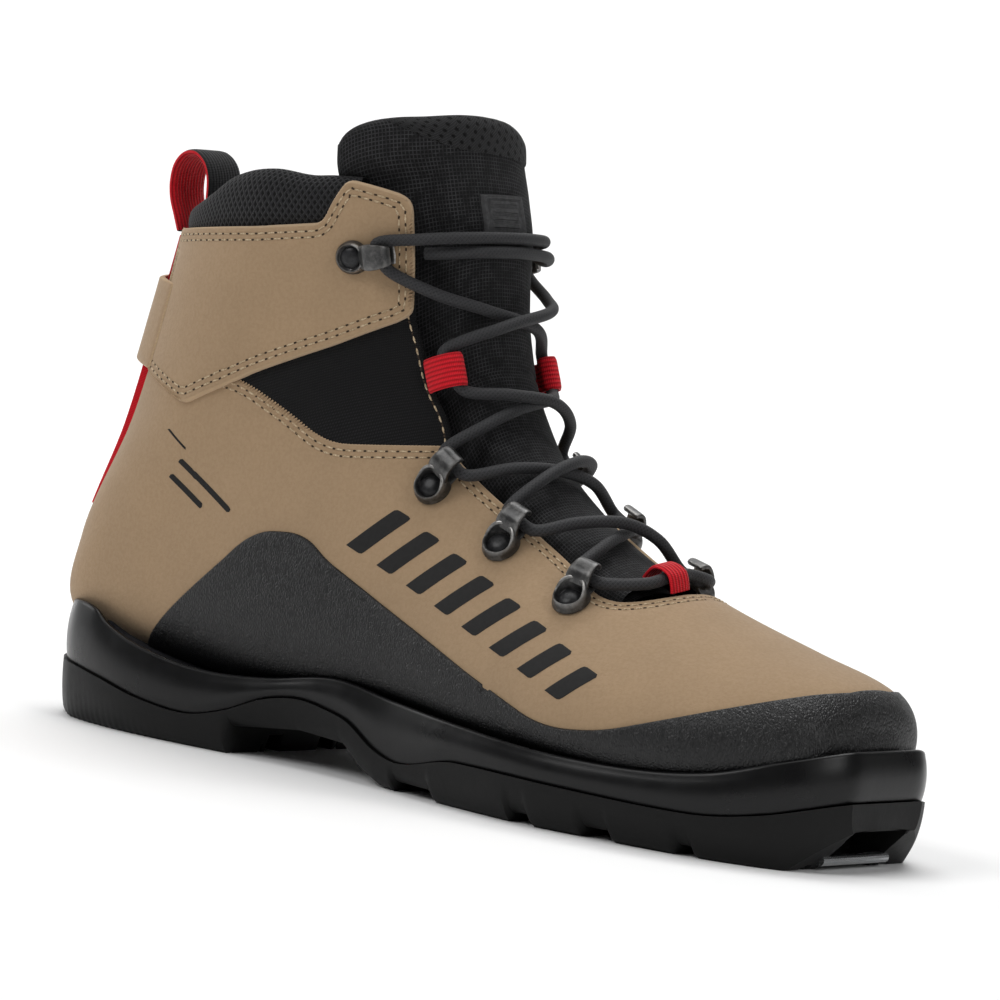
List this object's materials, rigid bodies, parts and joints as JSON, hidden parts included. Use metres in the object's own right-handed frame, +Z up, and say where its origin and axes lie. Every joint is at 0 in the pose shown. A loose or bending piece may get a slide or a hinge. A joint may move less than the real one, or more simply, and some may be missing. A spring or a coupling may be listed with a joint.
{
  "type": "cross country touring boot",
  "caption": "Ankle-high right touring ski boot with a lugged rubber sole, toe bar slot, leather upper, padded tongue and hook lacing.",
  "frame": {"origin": "middle of the sole's footprint, on the ground under the tread", "axes": "+X towards the toe, +Y towards the medial (inner) side, +Z up"},
  "size_m": [0.3, 0.1, 0.195],
  "materials": {
    "nubuck": "tan brushed nubuck, matte with a short nap",
    "rubber": "black moulded rubber, satin",
    "grained_rubber": "black rubberised leather grain, satin",
    "softshell": "black woven softshell with a fine ripstop grid",
    "knit": "black padded mesh knit",
    "red_webbing": "red ribbed webbing",
    "black_webbing": "black woven webbing, red on its inner face",
    "lace_cord": "black round braided cord",
    "gunmetal": "dark gunmetal plating, satin",
    "steel": "bright drawn steel",
    "foam": "dark grey foam",
    "board": "pale pressed fibre board"
  },
  "bodies": {
    "boot": {"outsole": "rubber", "midsole_shell": "rubber", "heel_cushion": "foam", "binding_insert": "rubber", "binding_bar": "steel", "insole_board": "board", "steel_shank": "steel", "footbed": "foam", "lining": "knit", "heel_counter": "board", "leather_upper": "nubuck", "rubber_rand": "grained_rubber", "ankle_panel_lateral": "softshell", "ankle_panel_medial": "softshell", "cuff_panel_lateral": "nubuck", "cuff_panel_medial": "nubuck", "heel_strap": "nubuck", "heel_tape": "red_webbing", "collar": "knit", "tongue_lower": "softshell", "lace": "lace_cord", "toe_lace_keeper": "red_webbing", "ankle_loop_lateral": "red_webbing", "ankle_loop_medial": "red_webbing", "lower_hook_lateral": "gunmetal", "lower_rivet_lateral": "gunmetal", "middle_hook_lateral": "gunmetal", "middle_rivet_lateral": "gunmetal", "upper_hook_lateral": "gunmetal", "upper_rivet_lateral": "gunmetal", "top_hook_lateral": "gunmetal", "top_rivet_lateral": "gunmetal", "lower_hook_medial": "gunmetal", "lower_rivet_medial": "gunmetal", "middle_hook_medial": "gunmetal", "middle_rivet_medial": "gunmetal", "upper_hook_medial": "gunmetal", "upper_rivet_medial": "gunmetal", "top_hook_medial": "gunmetal", "top_rivet_medial": "gunmetal"},
    "tongue": {"tongue_upper": "softshell", "tongue_label": "rubber"},
    "pull_loop": {"pull_loop": "black_webbing"}
  },
  "joints": [
    {"name": "tongue_tilt", "type": "hinge", "parent": "boot", "child": "tongue", "pos_m": [-0.007, 0, 0.114], "axis": [0, 1, 0], "range_deg": [-10, 0], "stiffness_Nm_per_rad": 1},
    {"name": "pull_loop_flex", "type": "hinge", "parent": "boot", "child": "pull_loop", "pos_m": [-0.127, 0, 0.151], "axis": [0, 1, 0], "range_deg": [-5, 5], "stiffness_Nm_per_rad": 0.05}
  ]
}
